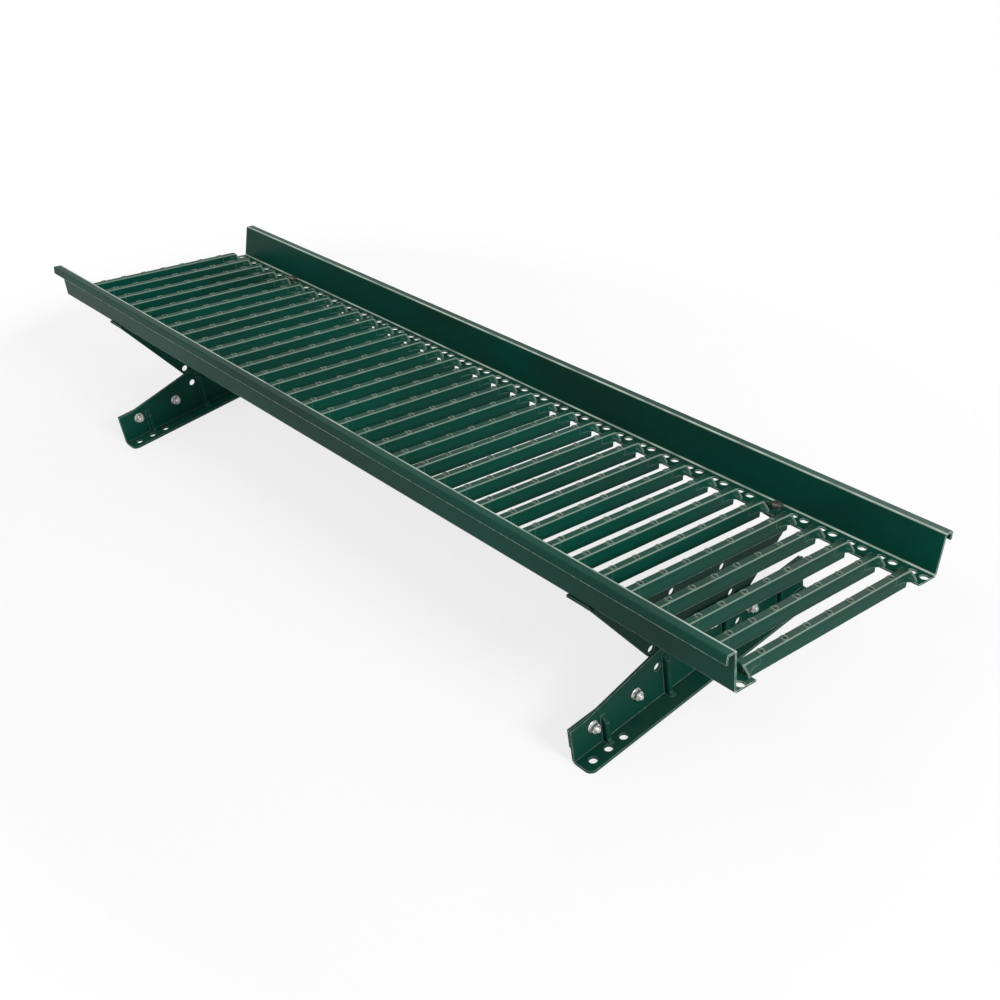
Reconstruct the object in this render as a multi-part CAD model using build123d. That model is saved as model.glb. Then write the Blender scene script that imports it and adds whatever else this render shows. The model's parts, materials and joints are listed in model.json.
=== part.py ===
from build123d import *
import math
import os

# Roof walkway: a deck of grip slats between two folded rails, carried by two
# brackets whose lower arms tilt to the slope of the roof.
# Millimetres and degrees. X runs along the walkway, +Y points up the roof, +Z is up.
# The origin lies on the roof plane, straight below the middle of the deck.

# Deck rails
DECK_LENGTH = 1250.0
DECK_WIDTH = 294.7
RAIL_SHEET = 2.0
RAIL_FLANGE = 26.5
RAIL_HEIGHT = 43.8
RAIL_LEAN = 5.7
RAIL_TOP_FLANGE = 12.0
RAIL_LIP = 10.0
RAIL_BEND_RADIUS = 1.5
RAIL_HOLE_RADIUS = 4.5
RAIL_HOLE_INSET = 10.8
GAP_HOLE_OFFSET = 12.5
SLAT_HOLE_OFFSET = -1.7

# Slats
SLAT_PITCH = 36.025
SLAT_ROW_MARGIN = 12.0
SLAT_COUNT = 1 + int((DECK_LENGTH - 2 * SLAT_ROW_MARGIN) / SLAT_PITCH)
SLAT_WIDTH = 9.35
SLAT_SHEET = 1.5
SLAT_RISE = 9.0
SLAT_DEPTH = 17.5
SLAT_ROW_SHIFT = -5.0
SLAT_LAP = 3.8
SLAT_END_RADIUS = 3.0
SLAT_EDGE_RADIUS = 2.0
SLAT_TIP_GAP = 1.0
EAR_REACH = 13.5
EAR_HEIGHT = 7.0
EAR_WAIST = (6.4, 2.9)

# Grip collars pressed up out of each slat
GRIP_COUNT = 7
GRIP_PITCH = 32.0
GRIP_RADIUS = 4.0
GRIP_BORE_RADIUS = 2.7
GRIP_HEIGHT = 1.5
GRIP_SLIT = 2.4

# Upper brackets, bolted under the rails: the slat each one is counted from, and the rail
# hole it uses beside that slat
BRACKET_INSET_SLATS = 5
LEFT_BRACKET_SLAT = SLAT_COUNT - BRACKET_INSET_SLATS
RIGHT_BRACKET_SLAT = BRACKET_INSET_SLATS
BRACKET_SHEET = 3.0
BRACKET_OFFSET = 11.5
BRACKET_OVERHANG = 2.65
BRACKET_SHOULDER = 3.0
BRACKET_DEPTH = 93.0
BRACKET_BEND_RADIUS = 4.0
BRACKET_NOTCH_HALF_WIDTH = 64.5
BRACKET_TOP_RELIEF = 8.0
BRACKET_LUG_RADIUS = 36.0
TAB_WIDTH = 33.0
TAB_LENGTH = 59.0
TAB_TAPER = 13.0
TAB_SEAT_LENGTH = 22.0
TAB_SEAT_TAPER = 4.0
TAB_SLAT_CLEARANCE = 1.2
LARGE_HOLE_RADIUS = 4.5
SMALL_HOLE_RADIUS = 2.0
UPPER_HOLE_HALF_SPACING = 37.5
UPPER_HOLE_DROP = 28.0
SMALL_HOLE_HALF_SPACING = 28.6
SMALL_HOLE_DROP = 31.5
LOW_SIDE_HOLE = (-61.0, -85.5)
HIGH_SIDE_HOLE = (57.0, -66.0)

# Tilting joint
ROOF_SLOPE = 11.0
LOWEST_SLOPE = 0.0
STEEPEST_SLOPE = 18.0
PIVOT_DROP = 98.0
PIVOT_HEIGHT = 43.5
PIVOT_RADIUS = 5.0
PIVOT_RUNNING_CLEARANCE = 0.08
LOCK_RADIUS = 26.0
LOCK_ANGLE = 22.0
LOCK_SLOT_CLEARANCE = 0.5
LOCK_SLOT_SPARE_ANGLE = 2.0
LOCK_BOLT_RADIUS = 4.0
PLATE_GAP = 0.3

# Roof arms, in their own frame: U along the roof, V away from it, both from the pivot
ARM_LENGTH = 350.0
ARM_SHEET = 3.0
ARM_FLANGE = 26.0
ARM_END_HEIGHT = 43.4
ARM_END_FLAT = 19.0
ARM_TOP_HEIGHT = 27.0
ARM_TOP_HALF_WIDTH = 12.0
ARM_FLANGE_CORNER = 8.0
ARM_BEND_RADIUS = 3.0
ROOF_HOLE_RADIUS = 4.5
ROOF_HOLE_COUNT = 3
ROOF_HOLE_SPACING = 21.2
ROOF_HOLE_END_INSET = 14.3
LOW_WEB_HOLE = (-54.2, 0.0)
HIGH_WEB_HOLE = (67.8, -20.5)
RIB_WIDTH = 6.0
RIB_DEPTH = 7.0
RIB_FOOT = 4.0
TALL_RIB_POSITION = 44.0
TALL_RIB_HEIGHT = 56.0
SHORT_RIB_POSITION = 132.5
SHORT_RIB_HEIGHT = 36.0

# Clamp plates behind the arm ends, with their bolts
CLAMP_SHEET = 3.0
CLAMP_HEIGHT = 24.0
CLAMP_INNER_RADIUS = 8.0
CLAMP_TAPER = 23.0
CLAMP_END_INSET = 1.0
CLAMP_BOLT_POSITIONS = (87.0, 147.0)
CLAMP_BOLT_HEIGHT = 31.0
CLAMP_BOLT_RADIUS = 3.0

# Fasteners
BOLT_HOLE_CLEARANCE = 0.5
THREAD_FIT = 0.05
THREAD_END = 3.0
HEX_CROWN_SLOPE = 1.7
M6_ACROSS_FLATS = 10.0
M6_HEAD_HEIGHT = 4.0
M6_NUT_HEIGHT = 5.0
M6_WASHER_RADIUS = 6.8
M6_WASHER_THICKNESS = 1.6
M8_ACROSS_FLATS = 13.0
M8_HEAD_HEIGHT = 5.3
M8_NUT_HEIGHT = 6.5
M8_NUT_FLANGE_RADIUS = 8.5
M10_ACROSS_FLATS = 16.0
M10_HEAD_HEIGHT = 6.4
M10_NUT_HEIGHT = 8.0
M10_NUT_FLANGE_RADIUS = 10.5
NUT_FLANGE_THICKNESS = 1.5
DECK_BOLT_RADIUS = 4.0
DECK_BOLT_ACROSS_FLATS = 12.0
DECK_BOLT_HEAD_HEIGHT = 3.6
DECK_SPACER_RADIUS = 5.0
DECK_SPACER_HEIGHT = 2.4

# Levels and places that follow from the sizes above
SLOPE = math.radians(ROOF_SLOPE)
PIVOT_LEVEL = PIVOT_HEIGHT / math.cos(SLOPE)
DECK_LEVEL = PIVOT_LEVEL + PIVOT_DROP
HALF_WIDTH = DECK_WIDTH / 2
HALF_ARM = ARM_LENGTH / 2
ARM_BASE = -PIVOT_HEIGHT
ARM_END_TOP = ARM_BASE + ARM_END_HEIGHT
WEB_BACK = BRACKET_OFFSET + BRACKET_SHEET + PLATE_GAP
WEB_FRONT = WEB_BACK + ARM_SHEET
CLAMP_BACK = WEB_BACK - CLAMP_SHEET
CLAMP_BOLT_LEVEL = ARM_BASE + CLAMP_BOLT_HEIGHT
JOINT_SEAT = BRACKET_OFFSET - PLATE_GAP
ROOF_HOLE_X = WEB_BACK + (ARM_SHEET + ARM_FLANGE) / 2
LOCK_RISE = LOCK_RADIUS * math.sin(math.radians(LOCK_ANGLE))
LOCK_REACH = LOCK_RADIUS * math.cos(math.radians(LOCK_ANGLE))
LOCK_PLACES = [(-LOCK_REACH, LOCK_RISE), (LOCK_REACH, LOCK_RISE)]


def slat_x(index):
    """The X of one slat's middle, counted from the right-hand end of the deck."""
    row_middle = (SLAT_COUNT - 1) / 2
    return (row_middle - index) * SLAT_PITCH + SLAT_ROW_SHIFT


BRACKET_X = {"left": slat_x(LEFT_BRACKET_SLAT) + SLAT_HOLE_OFFSET,
             "right": slat_x(RIGHT_BRACKET_SLAT) + GAP_HOLE_OFFSET}


def bent_strip(points, thickness, bend_radius):
    """The YZ section of a folded sheet whose upper face follows the points."""
    path = FilletPolyline(*points, radius=bend_radius)
    section = make_face(offset(path, amount=thickness, side=Side.RIGHT, closed=True))
    return Plane.YZ * section


def plate_x(outline, back, thickness):
    """A flat plate across X, cut to an outline of (Y, Z) corners."""
    face = Plane.YZ * make_face(Polyline(*outline, close=True))
    return Pos(back, 0, 0) * extrude(face, amount=thickness)


def rod(radius, length):
    """A round bar that stands on Z = 0."""
    return Cylinder(radius, length, align=(Align.CENTER, Align.CENTER, Align.MIN))


def ring(outer_radius, inner_radius, length):
    """A washer or sleeve that stands on Z = 0."""
    return rod(outer_radius, length) - rod(inner_radius, length)


def hexagon(across_flats, length):
    """A hexagonal bar that stands on Z = 0, with its top corners chamfered."""
    bar = extrude(RegularPolygon(across_flats / math.sqrt(3), 6), amount=length)
    crown = Cone(across_flats / 2 + HEX_CROWN_SLOPE * length, across_flats / 2, length,
                 align=(Align.CENTER, Align.CENTER, Align.MIN))
    return bar & crown


def hex_bolt(across_flats, head_height, shank_radius, shank_length):
    """A bolt whose head hangs below Z = 0 and whose shank points up."""
    head = Rot(180, 0, 0) * hexagon(across_flats, head_height)
    return head + rod(shank_radius, shank_length)


def hex_nut(across_flats, height, thread_radius):
    """A nut that stands on Z = 0."""
    return hexagon(across_flats, height) - rod(thread_radius + THREAD_FIT, height)


def flange_nut(across_flats, height, thread_radius, flange_radius):
    """A nut that stands on a collar of its own."""
    nut = hexagon(across_flats, height) + rod(flange_radius, NUT_FLANGE_THICKNESS)
    return nut - rod(thread_radius + THREAD_FIT, height)


def facing_x(x, y, z):
    """The place of a fastener that was built along Z and now points along +X."""
    return Pos(x, y, z) * Rot(0, 90, 0)


def hole_x(y, z, radius, back, thickness):
    """The cutter of a hole through a plate that lies across X."""
    return facing_x(back, y, z) * rod(radius, thickness)


def save(name, shape):
    """Writes one sub-part."""
    shape.label = name
    export_step(shape, f"parts/{name}.step")


# The deck

def make_far_rail():
    """The up-slope rail: a flange under the slats, a leaning wall, and a lipped top."""
    top_inner = HALF_WIDTH + RAIL_LEAN
    top_outer = top_inner + RAIL_TOP_FLANGE
    section = bent_strip([(HALF_WIDTH - RAIL_FLANGE, 0), (HALF_WIDTH, 0),
                          (top_inner, RAIL_HEIGHT), (top_outer, RAIL_HEIGHT),
                          (top_outer, RAIL_HEIGHT - RAIL_LIP)],
                         RAIL_SHEET, RAIL_BEND_RADIUS)
    rail = Pos(-DECK_LENGTH / 2, 0, DECK_LEVEL) * extrude(section, amount=DECK_LENGTH)
    holes = [Pos(slat_x(index) + offset_x, HALF_WIDTH - RAIL_HOLE_INSET, DECK_LEVEL - RAIL_SHEET)
             * rod(RAIL_HOLE_RADIUS, RAIL_SHEET)
             for index in range(SLAT_COUNT) for offset_x in (GAP_HOLE_OFFSET, SLAT_HOLE_OFFSET)]
    return rail - holes


def make_ear():
    """A curved web that stands on a flange's tip and braces one side of a slat's end."""
    root = (SLAT_WIDTH - SLAT_SHEET) / 2
    outline = Polyline((EAR_REACH, 0), (root, 0), (root, EAR_HEIGHT))
    outline += ThreePointArc((root, EAR_HEIGHT), EAR_WAIST, (EAR_REACH, 0))
    ear = extrude(Plane.XZ * make_face(outline), amount=SLAT_SHEET)
    return Pos(0, HALF_WIDTH - RAIL_FLANGE + 2 * SLAT_SHEET, 0) * ear


def make_slat():
    """One slat: an inverted channel whose closed ends lap onto both rail flanges."""
    wall_half = HALF_WIDTH - RAIL_FLANGE - SLAT_TIP_GAP
    end = HALF_WIDTH - RAIL_FLANGE + SLAT_LAP
    hollow_width = SLAT_WIDTH - 2 * SLAT_SHEET
    slat = extrude(RectangleRounded(SLAT_WIDTH, 2 * end, SLAT_END_RADIUS), amount=SLAT_RISE)
    slat = fillet(slat.faces().sort_by(Axis.Z)[-1].edges(), SLAT_EDGE_RADIUS)
    slat -= extrude(RectangleRounded(hollow_width, 2 * (end - SLAT_SHEET),
                                     SLAT_END_RADIUS - SLAT_SHEET), amount=SLAT_RISE - SLAT_SHEET)
    wall_depth = SLAT_DEPTH - SLAT_RISE
    for side in (-1, 1):
        slat += Pos(side * (hollow_width + SLAT_SHEET) / 2, 0, -wall_depth / 2) * Box(
            SLAT_SHEET, 2 * wall_half, wall_depth)
    ears = make_ear()
    ears += mirror(ears, about=Plane.YZ)
    slat += ears
    slat += mirror(ears, about=Plane.XZ)
    collar = Pos(0, 0, SLAT_RISE) * (ring(GRIP_RADIUS, GRIP_BORE_RADIUS, GRIP_HEIGHT)
                                     - Pos(0, 0, GRIP_HEIGHT / 2)
                                     * Box(2 * GRIP_RADIUS, GRIP_SLIT, GRIP_HEIGHT))
    bore = Pos(0, 0, SLAT_RISE - SLAT_SHEET) * rod(GRIP_BORE_RADIUS, SLAT_SHEET)
    for index in range(GRIP_COUNT):
        place = Pos(0, (index - (GRIP_COUNT - 1) / 2) * GRIP_PITCH, 0)
        slat = slat - place * bore + place * collar
    return Pos(0, 0, DECK_LEVEL) * slat


# The upper brackets, around their rail hole at X = 0

def make_tab():
    """The down-slope tab: full width under the rail, then narrowed to pass a slat."""
    front = BRACKET_OFFSET + BRACKET_SHEET
    edge = -(HALF_WIDTH + BRACKET_OVERHANG)
    rail_side = -HALF_WIDTH
    neck = SLAT_WIDTH / 2 - SLAT_HOLE_OFFSET + TAB_SLAT_CLEARANCE
    outline = [(front, edge), (front, rail_side + TAB_LENGTH),
               (neck, rail_side + TAB_LENGTH - TAB_TAPER),
               (neck, rail_side + TAB_SEAT_LENGTH + TAB_SEAT_TAPER),
               (front - TAB_WIDTH, rail_side + TAB_SEAT_LENGTH),
               (front - TAB_WIDTH, edge)]
    tab = extrude(make_face(Polyline(*outline, close=True)), amount=BRACKET_SHEET)
    hole = Pos(0, rail_side + RAIL_HOLE_INSET, 0) * rod(RAIL_HOLE_RADIUS, BRACKET_SHEET)
    return Pos(0, 0, DECK_LEVEL - RAIL_SHEET - BRACKET_SHEET) * (tab - hole)


def make_lock_slot(middle_angle):
    """The cutter of one curved slot about the pivot."""
    reach = STEEPEST_SLOPE - LOWEST_SLOPE + 2 * LOCK_SLOT_SPARE_ANGLE
    path = CenterArc((0, 0), LOCK_RADIUS, middle_angle - reach / 2, reach)
    slot = Plane.YZ * SlotArc(path, 2 * (LOCK_BOLT_RADIUS + LOCK_SLOT_CLEARANCE))
    return Pos(BRACKET_OFFSET, 0, PIVOT_LEVEL) * extrude(slot, amount=BRACKET_SHEET)


def make_upper_bracket():
    """A web that hangs below the deck, with two tabs folded under the rails."""
    top = DECK_LEVEL - RAIL_SHEET
    shoulder = top - BRACKET_SHOULDER
    bottom = DECK_LEVEL - BRACKET_DEPTH
    relief = top - BRACKET_TOP_RELIEF
    half_top = HALF_WIDTH + BRACKET_OVERHANG
    tab_end = HALF_WIDTH - TAB_LENGTH
    relief_end = tab_end - BRACKET_TOP_RELIEF
    web = plate_x([(-half_top, top), (-half_top, shoulder), (-BRACKET_NOTCH_HALF_WIDTH, bottom),
                   (BRACKET_NOTCH_HALF_WIDTH, bottom), (half_top, shoulder), (half_top, top),
                   (tab_end, top), (relief_end, relief), (-relief_end, relief), (-tab_end, top)],
                  BRACKET_OFFSET, BRACKET_SHEET)
    web += hole_x(0, PIVOT_LEVEL, BRACKET_LUG_RADIUS, BRACKET_OFFSET, BRACKET_SHEET)
    low_tab = make_tab()
    bracket = web + low_tab + mirror(low_tab, about=Plane.XZ)
    folds = bracket.edges().filter_by(Axis.Y).group_by(Axis.Z)[-1].group_by(Axis.X)[-1]
    bracket = fillet(folds, BRACKET_BEND_RADIUS)
    round_holes = [(side * UPPER_HOLE_HALF_SPACING, -UPPER_HOLE_DROP, LARGE_HOLE_RADIUS)
                   for side in (-1, 1)]
    round_holes += [(side * SMALL_HOLE_HALF_SPACING, -SMALL_HOLE_DROP, SMALL_HOLE_RADIUS)
                    for side in (-1, 1)]
    round_holes += [(*LOW_SIDE_HOLE, LARGE_HOLE_RADIUS), (*HIGH_SIDE_HOLE, LARGE_HOLE_RADIUS)]
    round_holes += [(0, -PIVOT_DROP, PIVOT_RADIUS + PIVOT_RUNNING_CLEARANCE)]
    for y, z, radius in round_holes:
        bracket -= hole_x(y, DECK_LEVEL + z, radius, BRACKET_OFFSET, BRACKET_SHEET)
    middle_slope = (LOWEST_SLOPE + STEEPEST_SLOPE) / 2
    bracket -= make_lock_slot(LOCK_ANGLE + middle_slope)
    bracket -= make_lock_slot(180 - LOCK_ANGLE + middle_slope)
    return bracket


# The roof arms, in their own frame: Y along the roof, Z away from it, pivot at 0

def make_rib(position, height):
    """A pressed rib that stiffens the arm's fold and runs out onto its flange."""
    seat = ARM_BASE + ARM_SHEET
    outline = [(WEB_FRONT, seat), (WEB_FRONT + RIB_DEPTH + RIB_FOOT, seat),
               (WEB_FRONT + RIB_DEPTH, seat + RIB_FOOT),
               (WEB_FRONT + RIB_DEPTH, ARM_BASE + height - RIB_DEPTH),
               (WEB_FRONT, ARM_BASE + height)]
    face = Plane.XZ * make_face(Polyline(*outline, close=True))
    rib = extrude(face, amount=RIB_WIDTH / 2, both=True)
    crests = rib.edges().filter_by(lambda edge: edge.center().X > WEB_FRONT).filter_by(
        lambda edge: abs(edge.center().Y) > RIB_WIDTH / 4 and edge.center().Z > seat)
    return Pos(0, position, 0) * fillet(crests, RIB_WIDTH / 3)


def make_roof_arm():
    """The folded arm: a tapered web, a flange that lies on the roof, and four ribs."""
    outline = [(-HALF_ARM, ARM_BASE), (-HALF_ARM, ARM_END_TOP),
               (-HALF_ARM + ARM_END_FLAT, ARM_END_TOP), (-ARM_TOP_HALF_WIDTH, ARM_TOP_HEIGHT)]
    outline += [(-y, z) for y, z in reversed(outline)]
    arm = plate_x(outline, WEB_BACK, ARM_SHEET)
    flange = Pos(WEB_BACK + ARM_FLANGE / 2, 0, ARM_BASE + ARM_SHEET / 2) * Box(
        ARM_FLANGE, ARM_LENGTH, ARM_SHEET)
    outer_corners = flange.edges().filter_by(Axis.Z).group_by(Axis.X)[-1]
    arm += fillet(outer_corners, ARM_FLANGE_CORNER)
    fold = arm.edges().filter_by(Axis.Y).group_by(Axis.Z)[0].group_by(Axis.X)[0]
    arm = fillet(fold, ARM_SHEET + ARM_BEND_RADIUS)
    for side in (-1, 1):
        arm += make_rib(side * TALL_RIB_POSITION, TALL_RIB_HEIGHT)
        arm += make_rib(side * SHORT_RIB_POSITION, SHORT_RIB_HEIGHT)
        for index in range(ROOF_HOLE_COUNT):
            along = side * (HALF_ARM - ROOF_HOLE_END_INSET - index * ROOF_HOLE_SPACING)
            arm -= Pos(ROOF_HOLE_X, along, ARM_BASE) * rod(ROOF_HOLE_RADIUS, ARM_SHEET)
        for position in CLAMP_BOLT_POSITIONS:
            arm -= hole_x(side * position, CLAMP_BOLT_LEVEL, CLAMP_BOLT_RADIUS + BOLT_HOLE_CLEARANCE,
                          WEB_BACK, ARM_SHEET)
    for y, z in (LOW_WEB_HOLE, HIGH_WEB_HOLE):
        arm -= hole_x(y, z, LARGE_HOLE_RADIUS, WEB_BACK, ARM_SHEET)
    arm -= hole_x(0, 0, PIVOT_RADIUS + THREAD_FIT, WEB_BACK, ARM_SHEET)
    for y, z in LOCK_PLACES:
        arm -= hole_x(y, z, LOCK_BOLT_RADIUS + THREAD_FIT, WEB_BACK, ARM_SHEET)
    return arm


def make_clamp_plate(side):
    """The backing plate behind one arm end, narrowed towards the pivot."""
    inner = CLAMP_BOLT_POSITIONS[0]
    low = CLAMP_BOLT_LEVEL - CLAMP_HEIGHT / 2
    high = CLAMP_BOLT_LEVEL + CLAMP_HEIGHT / 2
    end = HALF_ARM - CLAMP_END_INSET
    outline = [(inner, CLAMP_BOLT_LEVEL + CLAMP_INNER_RADIUS), (inner + CLAMP_TAPER, high),
               (end, high), (end, low), (inner + CLAMP_TAPER, low),
               (inner, CLAMP_BOLT_LEVEL - CLAMP_INNER_RADIUS)]
    clamp = plate_x([(side * y, z) for y, z in outline], CLAMP_BACK, CLAMP_SHEET)
    clamp += hole_x(side * inner, CLAMP_BOLT_LEVEL, CLAMP_INNER_RADIUS, CLAMP_BACK, CLAMP_SHEET)
    for position in CLAMP_BOLT_POSITIONS:
        clamp -= hole_x(side * position, CLAMP_BOLT_LEVEL, CLAMP_BOLT_RADIUS + BOLT_HOLE_CLEARANCE,
                        CLAMP_BACK, CLAMP_SHEET)
    return clamp


def make_pivot_bolt():
    """The bolt that the arm tilts about; its head stays just clear of the bracket."""
    grip = WEB_FRONT - JOINT_SEAT
    bolt = hex_bolt(M10_ACROSS_FLATS, M10_HEAD_HEIGHT, PIVOT_RADIUS, grip + M10_NUT_HEIGHT + THREAD_END)
    return facing_x(JOINT_SEAT, 0, 0) * bolt


def make_lock_bolts():
    """The two bolts that lock the slope, in the curved slots of the bracket."""
    grip = WEB_FRONT - JOINT_SEAT
    bolt = hex_bolt(M8_ACROSS_FLATS, M8_HEAD_HEIGHT, LOCK_BOLT_RADIUS, grip + M8_NUT_HEIGHT + THREAD_END)
    return Compound([facing_x(JOINT_SEAT, y, z) * bolt for y, z in LOCK_PLACES])


def make_joint_nuts():
    """The flange nuts of the pivot bolt and of both lock bolts."""
    pivot_nut = flange_nut(M10_ACROSS_FLATS, M10_NUT_HEIGHT, PIVOT_RADIUS, M10_NUT_FLANGE_RADIUS)
    lock_nut = flange_nut(M8_ACROSS_FLATS, M8_NUT_HEIGHT, LOCK_BOLT_RADIUS, M8_NUT_FLANGE_RADIUS)
    nuts = [facing_x(WEB_FRONT, 0, 0) * pivot_nut]
    nuts += [facing_x(WEB_FRONT, y, z) * lock_nut for y, z in LOCK_PLACES]
    return Compound(nuts)


def at_clamp_bolts(x, fastener):
    """Four copies of a fastener, one at each clamp bolt of an arm."""
    return Compound([facing_x(x, side * position, CLAMP_BOLT_LEVEL) * fastener
                     for side in (-1, 1) for position in CLAMP_BOLT_POSITIONS])


def make_clamp_fasteners():
    """The clamp bolts, washers and nuts of one arm, by sub-part name."""
    grip = CLAMP_SHEET + ARM_SHEET + M6_WASHER_THICKNESS
    bolt = hex_bolt(M6_ACROSS_FLATS, M6_HEAD_HEIGHT, CLAMP_BOLT_RADIUS, grip + M6_NUT_HEIGHT + THREAD_END)
    washer = ring(M6_WASHER_RADIUS, CLAMP_BOLT_RADIUS + THREAD_FIT, M6_WASHER_THICKNESS)
    nut = hex_nut(M6_ACROSS_FLATS, M6_NUT_HEIGHT, CLAMP_BOLT_RADIUS)
    return {"clamp_bolts": at_clamp_bolts(CLAMP_BACK, bolt),
            "clamp_washers": at_clamp_bolts(WEB_FRONT, washer),
            "clamp_nuts": at_clamp_bolts(WEB_FRONT + M6_WASHER_THICKNESS, nut)}


def make_arm_pieces():
    """Everything that tilts with one arm, by sub-part name."""
    pieces = {"roof_arm": make_roof_arm(),
              "low_clamp_plate": make_clamp_plate(-1),
              "high_clamp_plate": make_clamp_plate(1),
              "pivot_bolt": make_pivot_bolt(),
              "lock_bolts": make_lock_bolts(),
              "joint_nuts": make_joint_nuts()}
    pieces.update(make_clamp_fasteners())
    return pieces


# The fasteners between the brackets and the deck

def at_deck_bolts(level, fastener):
    """Four copies of an upright fastener, one at each bracket tab."""
    reach = HALF_WIDTH - RAIL_HOLE_INSET
    return Compound([Pos(x, side * reach, DECK_LEVEL + level) * fastener
                     for x in BRACKET_X.values() for side in (-1, 1)])


def make_deck_bolts():
    """The deck bolts, pointing down, with their heads raised on spacers."""
    grip = DECK_SPACER_HEIGHT + RAIL_SHEET + BRACKET_SHEET
    bolt = hex_bolt(DECK_BOLT_ACROSS_FLATS, DECK_BOLT_HEAD_HEIGHT, DECK_BOLT_RADIUS,
                    grip + M8_NUT_HEIGHT + THREAD_END)
    return at_deck_bolts(DECK_SPACER_HEIGHT, Rot(180, 0, 0) * bolt)


def make_deck_spacers():
    """The short sleeves between the rail flange and the bolt heads."""
    return at_deck_bolts(0, ring(DECK_SPACER_RADIUS, DECK_BOLT_RADIUS + THREAD_FIT, DECK_SPACER_HEIGHT))


def make_deck_nuts():
    """The nuts under the bracket tabs."""
    nut = hex_nut(M8_ACROSS_FLATS, M8_NUT_HEIGHT, DECK_BOLT_RADIUS)
    return at_deck_bolts(-(RAIL_SHEET + BRACKET_SHEET), Rot(180, 0, 0) * nut)


os.makedirs("parts", exist_ok=True)

far_rail = make_far_rail()
save("far_rail", far_rail)
save("near_rail", mirror(far_rail, about=Plane.XZ))

slat = make_slat()
for index in range(SLAT_COUNT):
    save(f"slat_{index + 1:02d}", Pos(slat_x(index), 0, 0) * slat)

upper_bracket = make_upper_bracket()
arm_pieces = make_arm_pieces()
for side, x in BRACKET_X.items():
    place = Pos(x, 0, 0)
    save(f"{side}_upper_bracket", place * upper_bracket)
    arm_place = place * Pos(0, 0, PIVOT_LEVEL) * Rot(ROOF_SLOPE, 0, 0)
    for name, piece in arm_pieces.items():
        save(f"{side}_{name}", arm_place * piece)

save("deck_bolts", make_deck_bolts())
save("deck_spacers", make_deck_spacers())
save("deck_nuts", make_deck_nuts())
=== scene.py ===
import json
import math

import bmesh
import bpy
import numpy as np
from mathutils import Matrix, Vector


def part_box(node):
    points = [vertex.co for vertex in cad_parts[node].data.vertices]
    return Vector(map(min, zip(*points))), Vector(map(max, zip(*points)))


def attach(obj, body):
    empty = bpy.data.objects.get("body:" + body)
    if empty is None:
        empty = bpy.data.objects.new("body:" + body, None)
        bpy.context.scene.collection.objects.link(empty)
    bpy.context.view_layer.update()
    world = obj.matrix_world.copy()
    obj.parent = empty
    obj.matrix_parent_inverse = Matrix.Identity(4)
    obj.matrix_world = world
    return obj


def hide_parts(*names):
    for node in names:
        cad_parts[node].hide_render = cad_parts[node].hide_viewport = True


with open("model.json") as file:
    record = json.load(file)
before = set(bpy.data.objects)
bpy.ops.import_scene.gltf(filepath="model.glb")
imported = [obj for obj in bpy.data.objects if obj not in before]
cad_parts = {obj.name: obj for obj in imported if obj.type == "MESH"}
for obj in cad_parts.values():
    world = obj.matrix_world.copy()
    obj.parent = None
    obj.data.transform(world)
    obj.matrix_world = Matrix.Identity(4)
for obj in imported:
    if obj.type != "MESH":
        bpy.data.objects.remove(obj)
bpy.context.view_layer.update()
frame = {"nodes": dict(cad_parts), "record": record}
MM = 0.001


# Roof arms
# Two folded steel angles that lie on the roof, each with pressed ribs in its fold and a
# backing plate bolted behind each end. All of it is powder coated moss green.

COAT_GREEN = (0.0030, 0.060, 0.040, 1)
COAT_SHADE = (0.0070, 0.032, 0.022, 1)
# Pale green of the painted highlight on folds, cut edges, collar lips and flare rims.
COAT_HIGHLIGHT = (0.56, 0.66, 0.57, 1)
COAT_DUST = (0.16, 0.15, 0.12, 1)
# Bevel radius that finds the edges for the painted highlight.
EDGE_HIGHLIGHT_RADIUS = 1.5 * MM
# The two colour inputs and the colour output of a Mix node.
MIX_A = 6
MIX_B = 7
MIX_RESULT = 2


def add_node(tree, kind, inputs=None, **settings):
    """Adds one shader node, sets its properties and its unlinked inputs, and returns it.
    An input is given by its name, or by its number where several share one name."""
    node = tree.nodes.new(kind)
    for name, value in settings.items():
        setattr(node, name, value)
    for name, value in (inputs or {}).items():
        node.inputs[name].default_value = value
    return node


def new_group(name, inputs, outputs):
    """An empty shader group with float or vector sockets, and its two end nodes."""
    group = bpy.data.node_groups.new(name, "ShaderNodeTree")
    for title, kind, value in inputs:
        socket = group.interface.new_socket(title, in_out="INPUT", socket_type=kind)
        if value is not None:
            socket.default_value = value
    for title, kind in outputs:
        group.interface.new_socket(title, in_out="OUTPUT", socket_type=kind)
    return group, group.nodes.new("NodeGroupInput"), group.nodes.new("NodeGroupOutput")


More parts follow.
